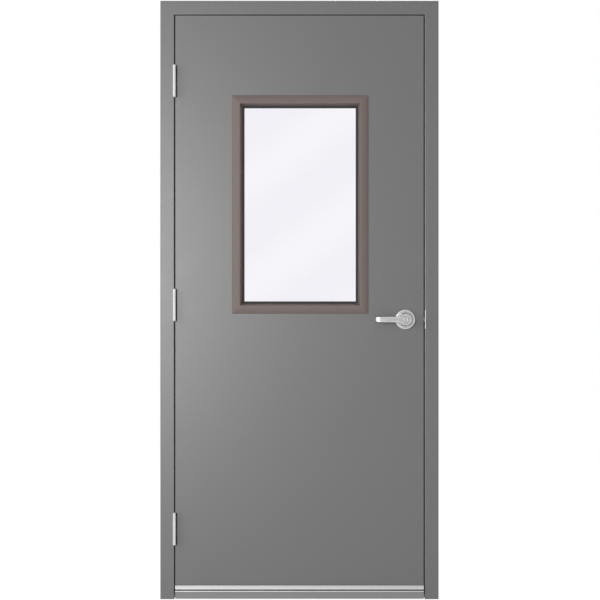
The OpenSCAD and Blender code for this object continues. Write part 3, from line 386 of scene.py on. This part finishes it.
class Canvas:
    """A material in the making, with its Principled shader."""

    def __init__(self, name: str, colour: Colour, roughness: float) -> None:
        """Makes a plain material.

        Args:
            name: Name of the material.
            colour: Base colour.
            roughness: Roughness of the surface.
        """
        self.material = bpy.data.materials.new(name)
        self.material.use_nodes = True
        self.tree = self.material.node_tree
        self.shader = self.tree.nodes["Principled BSDF"]
        self.fill("Base Color", opaque(colour))
        self.fill("Roughness", roughness)

    @cached_property
    def where(self) -> bpy.types.NodeSocket:
        """Adds object coordinates on first use.

        Returns:
            The socket with the coordinates.
        """
        return self.tree.nodes.new("ShaderNodeTexCoord").outputs["Object"]

    def fill(self, label: str, value: object) -> None:
        """Feeds or sets one of the shader's inputs.

        Args:
            label: Name of the input.
            value: A socket, or the constant to set.
        """
        NodeTools.fill(self.tree, self.shader.inputs[label], value)

    def place(self, group: bpy.types.NodeTree, **settings: object) -> bpy.types.Node:
        """Puts a shared effect into the material.

        Args:
            group: The shared effect.
            settings: Constants for the effect's inputs, by name.

        Returns:
            The group node.
        """
        node = self.tree.nodes.new("ShaderNodeGroup")
        node.node_tree = group
        self.tree.links.new(self.where, node.inputs["Position"])
        for label, value in settings.items():
            node.inputs[label].default_value = value
        return node

    def drift(self, effects: SharedEffects, colour: Colour, amount: float) -> bpy.types.Node:
        """Lets the base colour drift.

        Args:
            effects: The shared node groups.
            colour: The mean colour.
            amount: How far it drifts.

        Returns:
            The group node.
        """
        tone = self.place(effects.tone, Colour=opaque(colour), Amount=amount)
        self.fill("Base Color", tone.outputs["Colour"])
        return tone

    def vary_roughness(self, mask: bpy.types.NodeSocket, low: float, high: float,
                       source: Band = UNIT) -> None:
        """Lets the roughness follow a mask.

        Args:
            mask: Socket with the mask.
            low: Roughness at the low end of the source range.
            high: Roughness at the high end of the source range.
            source: Range of the mask that counts.
        """
        self.fill("Roughness", NodeTools.span(self.tree, mask, low, high, source))

    def raise_bumps(self, height: bpy.types.NodeSocket, strength: float, distance: float) -> None:
        """Feeds a height into the shader's normal.

        Args:
            height: Socket with the height.
            strength: Strength of the bumps.
            distance: Height of the bumps in metres.
        """
        bump = self.tree.nodes.new("ShaderNodeBump")
        bump.inputs["Strength"].default_value = strength
        bump.inputs["Distance"].default_value = distance
        self.tree.links.new(height, bump.inputs["Height"])
        self.fill("Normal", bump.outputs["Normal"])


@dataclass(frozen=True)
class Recess:
    """Where a finish gets painted shade in a recess: an axis and two depths along it, in metres,
    and the shade's colour.
    """

    axis: Triple
    start: float
    full: float
    # Colour of the painted shade at full depth.
    colour: Colour = (0.025, 0.025, 0.026)


@dataclass(frozen=True)
class Finish:
    """A surface finish: what every finish has in common."""

    name: str
    colour: Colour
    roughness: float

    def start(self) -> Canvas:
        """Starts the material.

        Returns:
            A plain material with this finish's name, colour and roughness.
        """
        return Canvas(self.name, self.colour, self.roughness)

    def build(self, effects: SharedEffects) -> bpy.types.Material:
        """Makes the material; each finish has its own way.

        Args:
            effects: The shared node groups.

        Returns:
            The material.
        """
        raise NotImplementedError


@dataclass(frozen=True)
class PaintFinish(Finish):
    """Sprayed paint or another thin skin on steel."""

    drift: float = 0.06
    peel: float = 0.12
    peel_height: float = 0.0002
    specular: float = 0.5
    smear_gloss: float = 0.03

    def build(self, effects: SharedEffects) -> bpy.types.Material:
        """Makes the paint.

        Args:
            effects: The shared node groups.

        Returns:
            The material.
        """
        canvas = self.start()
        canvas.fill("Specular IOR Level", self.specular)
        canvas.drift(effects, self.colour, self.drift)
        smears = canvas.place(effects.handling)
        canvas.vary_roughness(smears.outputs["Mask"], self.roughness,
                              self.roughness - self.smear_gloss)
        peel = canvas.place(effects.peel)
        canvas.raise_bumps(peel.outputs["Height"], self.peel, self.peel_height)
        return canvas.material


@dataclass(frozen=True)
class MetalFinish(Finish):
    """Bare metal with a brushed or rolled grain, and painted shade in its recess where one is
    given.
    """

    axis: GrainAxis
    grain: float = 0.08
    grain_height: float = 0.0001
    tint: float = 0.06
    spread: float = 0.06
    recess: Recess | None = None

    def build(self, effects: SharedEffects) -> bpy.types.Material:
        """Makes the metal.

        Args:
            effects: The shared node groups.

        Returns:
            The material.
        """
        canvas = self.start()
        canvas.fill("Metallic", 1.0)
        grain = canvas.place(effects.grain, Stretch=self.axis.value)
        tone = canvas.drift(effects, self.colour, self.tint)
        canvas.vary_roughness(grain.outputs["Mask"], self.roughness - self.spread,
                              self.roughness + self.spread, MIDDLE)
        canvas.raise_bumps(grain.outputs["Height"], self.grain, self.grain_height)
        # Paints shade into the recess, where one is given.
        if self.recess is not None:
            self.add_painted_shade(canvas, effects, tone.outputs["Colour"])
        return canvas.material

    def add_painted_shade(self, canvas: Canvas, effects: SharedEffects,
                  unshaded: bpy.types.NodeSocket) -> None:
        """Paints shade into the metal's recess, where it darkens and dulls the metal.

        Args:
            canvas: The material.
            effects: The shared node groups.
            unshaded: Socket with the metal's colour before the painted shade.
        """
        painted_shade = canvas.place(effects.recess, Axis=self.recess.axis, Start=self.recess.start,
                             Full=self.recess.full)
        mask = painted_shade.outputs["Mask"]
        shade_colour = opaque(self.recess.colour)
        canvas.fill("Base Color", NodeTools.mix(canvas.tree, mask, unshaded, shade_colour))
        canvas.fill("Metallic", NodeTools.span(canvas.tree, mask, 1.0, 0.0))


@dataclass(frozen=True)
class SpangleFinish(Finish):
    """Galvanised steel with its crystals."""

    crystal_scale: float = 110.0
    darkest: float = 0.8
    brightest: float = 1.15
    spread: float = 0.1
    peel: float = 0.05
    peel_height: float = 0.0001

    def build(self, effects: SharedEffects) -> bpy.types.Material:
        """Makes the galvanised steel.

        Args:
            effects: The shared node groups.

        Returns:
            The material.
        """
        canvas = self.start()
        canvas.fill("Metallic", 1.0)
        crystals = canvas.tree.nodes.new("ShaderNodeTexVoronoi")
        crystals.inputs["Scale"].default_value = self.crystal_scale
        canvas.tree.links.new(canvas.where, crystals.inputs["Vector"])
        split = canvas.tree.nodes.new("ShaderNodeSeparateColor")
        canvas.tree.links.new(crystals.outputs["Color"], split.inputs[0])
        dark = opaque(self.darkest * part for part in self.colour)
        bright = opaque(self.brightest * part for part in self.colour)
        canvas.fill("Base Color", NodeTools.mix(canvas.tree, split.outputs[0], dark, bright))
        canvas.vary_roughness(split.outputs[1], self.roughness - self.spread,
                              self.roughness + self.spread)
        peel = canvas.place(effects.peel)
        canvas.raise_bumps(peel.outputs["Height"], self.peel, self.peel_height)
        return canvas.material


@dataclass(frozen=True)
class RubberFinish(Finish):
    """Moulded rubber or plastic with a dull skin."""

    drift: float = 0.25
    specular: float = 0.3
    spread: float = 0.08
    peel: float = 0.2
    peel_height: float = 0.0002

    def build(self, effects: SharedEffects) -> bpy.types.Material:
        """Makes the rubber.

        Args:
            effects: The shared node groups.

        Returns:
            The material.
        """
        canvas = self.start()
        canvas.fill("Specular IOR Level", self.specular)
        tone = canvas.drift(effects, self.colour, self.drift)
        canvas.vary_roughness(tone.outputs["Mask"], self.roughness - self.spread,
                              self.roughness + self.spread, MIDDLE)
        peel = canvas.place(effects.peel)
        canvas.raise_bumps(peel.outputs["Height"], self.peel, self.peel_height)
        return canvas.material


@dataclass(frozen=True)
class GlassFinish(Finish):
    """Clear sheet glass with faint slanting bands of painted reflection, standing for the room
    behind the camera, in its colour.

    The painted reflection bands' pitch and offset are in metres.
    """

    painted_reflection_colour: Colour
    slant: float = math.radians(36.0)
    pitch: float = 0.3137
    offset: float = 1.346
    swell: Band = Band(-0.6, 1.0)
    ior: float = 1.45
    smear: float = 0.012

    def build(self, effects: SharedEffects) -> bpy.types.Material:
        """Makes the glass.

        Args:
            effects: The shared node groups.

        Returns:
            The material.
        """
        canvas = self.start()
        tree = canvas.tree
        canvas.fill("Transmission Weight", 1.0)
        canvas.fill("IOR", self.ior)
        # Slanting bands of painted reflection tint the base colour.
        across = NodeTools.vector(tree, "DOT_PRODUCT", canvas.where,
                                  (-math.sin(self.slant), 0.0, math.cos(self.slant)))
        shifted = NodeTools.math(tree, "SUBTRACT", across.outputs["Value"], self.offset)
        phase = NodeTools.math(tree, "MULTIPLY", shifted, 2.0 * math.pi / self.pitch)
        wave = NodeTools.math(tree, "COSINE", phase, 0.0)
        share = NodeTools.span(tree, wave, 0.0, 1.0, self.swell)
        canvas.fill("Base Color",
                    NodeTools.mix(tree, share, opaque(self.colour), opaque(self.painted_reflection_colour)))
        smears = canvas.place(effects.handling)
        canvas.vary_roughness(smears.outputs["Mask"], self.roughness, self.roughness + self.smear)
        return canvas.material


DOOR_PAINT = PaintFinish("grey_door_paint", (0.147, 0.147, 0.147), roughness=0.36)
FRAME_PAINT = PaintFinish("grey_frame_paint", (0.147, 0.147, 0.147), roughness=0.36)
BRONZE_PAINT = PaintFinish("bronze_panel_paint", (0.150, 0.116, 0.105), roughness=0.60,
                           drift=0.08, peel=0.1, specular=0.45)
MILL_SCALE = PaintFinish("dark_mill_scale", (0.030, 0.031, 0.034), roughness=0.55,
                         drift=0.3, peel=0.2, specular=0.25)
HINGE_STEEL = MetalFinish("satin_hinge_steel", (0.51, 0.51, 0.51), roughness=0.62,
                          axis=GrainAxis.ALONG_Z, grain=0.03, tint=0.04)
LOCK_SATIN = MetalFinish("satin_lock_metal", (0.56, 0.56, 0.56), roughness=0.28,
                         axis=GrainAxis.ALONG_X, grain=0.04)
# The key plug's keyway is darkened with painted shade behind its face.
PLUG_METAL = MetalFinish("key_plug_metal", (0.78, 0.78, 0.78), roughness=0.30,
                         axis=GrainAxis.ALONG_Y, grain=0.04,
                         recess=Recess(axis=(0.0, 1.0, 0.0), start=-0.1298, full=-0.1284))
STRIKE_STEEL = MetalFinish("satin_strike_steel", (0.32, 0.32, 0.32), roughness=0.42,
                           axis=GrainAxis.ALONG_Z, grain=0.04)
SCREW_STEEL = MetalFinish("screw_steel", (0.62, 0.62, 0.62), roughness=0.36,
                          axis=GrainAxis.ALONG_Y)
# The sweep holder's groove is darkened with painted shade.
SWEEP_METAL = MetalFinish("mill_aluminium", (0.47, 0.47, 0.475), roughness=0.42,
                          axis=GrainAxis.ALONG_X, grain=0.05,
                          recess=Recess(axis=(0.0, 1.0, 0.0), start=-0.0771, full=-0.0765))
INNER_STEEL = SpangleFinish("galvanised_steel", (0.50, 0.51, 0.52), roughness=0.42)
DARK_RUBBER = RubberFinish("dark_rubber", (0.020, 0.019, 0.020), roughness=0.62)
FLAP_RUBBER = RubberFinish("grey_flap_rubber", (0.252, 0.252, 0.255), roughness=0.6, drift=0.08)
BOX_PLASTIC = RubberFinish("black_box_plastic", (0.03, 0.03, 0.03), roughness=0.5)
# The glass carries slanting bands of painted reflection of the room behind the camera.
CLEAR_GLASS = GlassFinish("clear_glass", (0.910, 0.900, 0.952), roughness=0.0,
                          painted_reflection_colour=(0.948, 0.938, 0.978))


@dataclass
class Assembly:
    """A sub-assembly of the part: its CAD nodes by finish."""

    finishes: dict[Finish, tuple[str, ...]]

    def dress(self, nodes: dict[str, bpy.types.Object], effects: SharedEffects) -> None:
        """Gives each CAD node its finish.

        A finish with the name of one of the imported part's own materials isn't built: its nodes
        wear that plain material, as with screw_steel and dark_rubber.

        Args:
            nodes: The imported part's nodes.
            effects: The shared node groups.
        """
        for finish, names in self.finishes.items():
            material = bpy.data.materials.get(finish.name) or finish.build(effects)
            for name in names:
                for slot in nodes[name].material_slots:
                    slot.material = material
                LOG.info("%s wears %s", name, finish.name)


@dataclass
class PressedFrame(Assembly):
    """The pressed steel frame with its anchors, strike and half of each hinge."""

    finishes: dict[Finish, tuple[str, ...]] = field(default_factory=lambda: {
        FRAME_PAINT: ("hinge_jamb", "strike_jamb", "header"),
        INNER_STEEL: ("frame_hinge_plates", "strike_reinforcement", "hinge_floor_anchor",
                      "strike_floor_anchor", "wall_anchors"),
        BOX_PLASTIC: ("strike_box",),
        STRIKE_STEEL: ("strike_plate",),
        SCREW_STEEL: ("strike_screws", "frame_hinge_screws"),
        HINGE_STEEL: ("bottom_hinge_frame_leaf", "middle_hinge_frame_leaf",
                      "top_hinge_frame_leaf", "bottom_hinge_pin", "middle_hinge_pin",
                      "top_hinge_pin"),
        DARK_RUBBER: ("silencers",),
    })


@dataclass
class DoorLeaf(Assembly):
    """The leaf with its face sheets, channels, sweep, fixed lock parts and half of each hinge."""

    finishes: dict[Finish, tuple[str, ...]] = field(default_factory=lambda: {
        DOOR_PAINT: ("front_skin", "back_skin", "top_channel", "bottom_channel"),
        INNER_STEEL: ("stiffeners", "lock_reinforcement", "lite_liner", "lock_chassis",
                      "latch_case"),
        MILL_SCALE: ("door_hinge_plates", "sweep_screws"),
        HINGE_STEEL: ("bottom_hinge_door_leaf", "middle_hinge_door_leaf", "top_hinge_door_leaf"),
        SCREW_STEEL: ("door_hinge_screws", "faceplate_screws", "rose_bolts"),
        SWEEP_METAL: ("sweep_holder",),
        FLAP_RUBBER: ("sweep_flap",),
        LOCK_SATIN: ("latch_faceplate", "outside_rose", "inside_rose"),
    })


@dataclass
class VisionPanel(Assembly):
    """The glazed panel in the leaf."""

    finishes: dict[Finish, tuple[str, ...]] = field(default_factory=lambda: {
        BRONZE_PAINT: ("lite_frame_front", "lite_frame_back", "lite_screws"),
        CLEAR_GLASS: ("glass",),
        DARK_RUBBER: ("gasket_front", "gasket_back", "setting_blocks"),
    })


@dataclass
class LeverLock(Assembly):
    """The lock's moving parts: levers, spindle, key cylinder and plug, turn button and latch."""

    finishes: dict[Finish, tuple[str, ...]] = field(default_factory=lambda: {
        LOCK_SATIN: ("outside_lever", "inside_lever", "key_cylinder", "turn_button",
                     "latch_bolt"),
        PLUG_METAL: ("key_plug",),
        INNER_STEEL: ("spindle",),
    })


@dataclass(frozen=True)
class Lamp:
    """A soft box: where it hangs and what it faces in metres, its size and its power in watts."""

    name: str
    place: Triple
    target: Triple
    size: tuple[float, float]
    power: float

    def hang(self) -> None:
        """Adds the lamp to the scene."""
        data = bpy.data.lights.new(self.name, "AREA")
        data.shape = "RECTANGLE"
        data.size, data.size_y = self.size
        data.energy = self.power
        lamp = bpy.data.objects.new(self.name, data)
        lamp.location = self.place
        aim = Vector(self.target) - Vector(self.place)
        lamp.rotation_euler = aim.to_track_quat("-Z", "Y").to_euler()
        bpy.context.collection.objects.link(lamp)


STUDIO_LAMPS = (
    Lamp("left_box", (-1.3, -4.9, 1.33), (-0.3, 0.0, 1.12), (0.5, 1.45), 110.0),
    Lamp("right_box", (3.4, -2.0, 0.4), (0.0, 0.0, 0.4), (1.0, 1.0), 8.0),
    Lamp("upper_left_box", (-4.4, -3.0, 1.9), (0.0, 0.0, 1.1), (2.6, 2.6), 95.0),
    Lamp("back_box", (0.9, 4.2, 3.2), (0.0, 0.0, 1.0), (1.2, 1.2), 95.0),
)


@dataclass
class Studio:
    """The floor, the lamps, the surroundings and the camera; lengths are in metres."""

    distance: float = 7.2
    aim: Triple = (0.0019, -0.073, 1.0919)
    width: float = 2.190
    sensor_mm: float = 36.0
    clip_end: float = 60.0
    ambient: float = 0.46
    floor_size: float = 14.0
    floor_drop: float = 0.0005
    floor_colour: Colour = (0.62, 0.62, 0.62)
    floor_glow: float = 1.2
    floor_glow_share: float = 0.8
    card_size: tuple[float, float] = (3.2, 4.6)
    card_place: Triple = (0.0, -8.4, 1.6)
    card_colour: Colour = (0.45, 0.45, 0.45)
    matt: float = 0.9
    lamps: tuple[Lamp, ...] = STUDIO_LAMPS

    @staticmethod
    def sight(tree: bpy.types.NodeTree) -> bpy.types.NodeSocket:
        """Tells where the camera sees a surface, also by way of metal or glass.

        Args:
            tree: Tree that takes the nodes.

        Returns:
            A socket that is 1 on such a ray.
        """
        path = tree.nodes.new("ShaderNodeLightPath")
        seen = NodeTools.math(tree, "MAXIMUM", path.outputs["Is Camera Ray"],
                              path.outputs["Is Glossy Ray"])
        return NodeTools.math(tree, "MAXIMUM", seen, path.outputs["Is Transmission Ray"])

    @staticmethod
    def blend_shaders(tree: bpy.types.NodeTree, factor: bpy.types.NodeSocket,
                      first: bpy.types.NodeSocket, second: bpy.types.NodeSocket,
                      sink: bpy.types.NodeSocket) -> None:
        """Mixes two shaders into an output.

        Args:
            tree: Tree that takes the node.
            factor: Share of the second shader.
            first: First shader.
            second: Second shader.
            sink: The output's socket.
        """
        mix = tree.nodes.new("ShaderNodeMixShader")
        tree.links.new(factor, mix.inputs["Fac"])
        tree.links.new(first, mix.inputs[1])
        tree.links.new(second, mix.inputs[2])
        tree.links.new(mix.outputs["Shader"], sink)

    def floor(self) -> None:
        """Lays a pale floor that shows white to the camera and keeps the part's shadow."""
        bpy.ops.mesh.primitive_plane_add(size=self.floor_size,
                                         location=(0.0, 0.0, -self.floor_drop))
        plane = bpy.context.object
        plane.name = "studio_floor"
        canvas = Canvas("pale_floor", self.floor_colour, self.matt)
        canvas.fill("Specular IOR Level", 0.0)
        tree = canvas.tree
        glow = tree.nodes.new("ShaderNodeEmission")
        glow.inputs["Strength"].default_value = self.floor_glow
        seen = NodeTools.math(tree, "MULTIPLY", self.sight(tree), self.floor_glow_share)
        self.blend_shaders(tree, seen, canvas.shader.outputs["BSDF"], glow.outputs["Emission"],
                           tree.nodes["Material Output"].inputs["Surface"])
        plane.data.materials.append(canvas.material)

    def card(self) -> None:
        """Stands a grey card behind the camera, as something darker for the metal to reflect.

        It is hidden from the camera itself and from rays through glass.
        """
        bpy.ops.mesh.primitive_plane_add(size=1.0, location=self.card_place,
                                         rotation=(UPRIGHT, 0.0, 0.0))
        plane = bpy.context.object
        plane.name = "grey_card"
        plane.scale = (*self.card_size, 1.0)
        plane.data.materials.append(Canvas("card_paper", self.card_colour, self.matt).material)
        plane.visible_camera = False
        plane.visible_transmission = False

    def surroundings(self) -> None:
        """Sets a soft grey world that is white where the camera, metal and glass see it."""
        world = bpy.data.worlds.new("studio_world")
        bpy.context.scene.world = world
        world.use_nodes = True
        tree = world.node_tree
        tree.nodes.clear()
        soft = tree.nodes.new("ShaderNodeBackground")
        soft.inputs["Strength"].default_value = self.ambient
        white = tree.nodes.new("ShaderNodeBackground")
        white.inputs["Color"].default_value = opaque((1.0, 1.0, 1.0))
        white.inputs["Strength"].default_value = 1.0
        sink = tree.nodes.new("ShaderNodeOutputWorld")
        self.blend_shaders(tree, self.sight(tree), soft.outputs["Background"],
                           white.outputs["Background"], sink.inputs["Surface"])

    def camera(self) -> None:
        """Sets the camera straight in front of the part, at the middle of its height."""
        data = bpy.data.cameras.new("front_camera")
        data.sensor_width = self.sensor_mm
        data.lens = self.sensor_mm * self.distance / self.width
        data.clip_end = self.clip_end
        camera = bpy.data.objects.new("front_camera", data)
        x, y, z = self.aim
        camera.location = (x, y - self.distance, z)
        camera.rotation_euler = (UPRIGHT, 0.0, 0.0)
        bpy.context.collection.objects.link(camera)
        bpy.context.scene.camera = camera

    def set_up(self) -> None:
        """Builds the whole studio."""
        self.floor()
        self.card()
        self.surroundings()
        for lamp in self.lamps:
            lamp.hang()
        self.camera()
        bpy.context.scene.view_settings.view_transform = "Standard"


def main() -> None:
    """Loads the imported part, dresses it and sets up the studio."""
    logging.basicConfig(level=logging.INFO)
    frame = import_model()
    studio = Studio()
    studio.set_up()
    effects = SharedEffects()
    assemblies: list[Assembly] = [PressedFrame(), DoorLeaf(), VisionPanel(), LeverLock()]
    for assembly in assemblies:
        assembly.dress(frame["nodes"], effects)


if __name__ == "__main__":
    main()
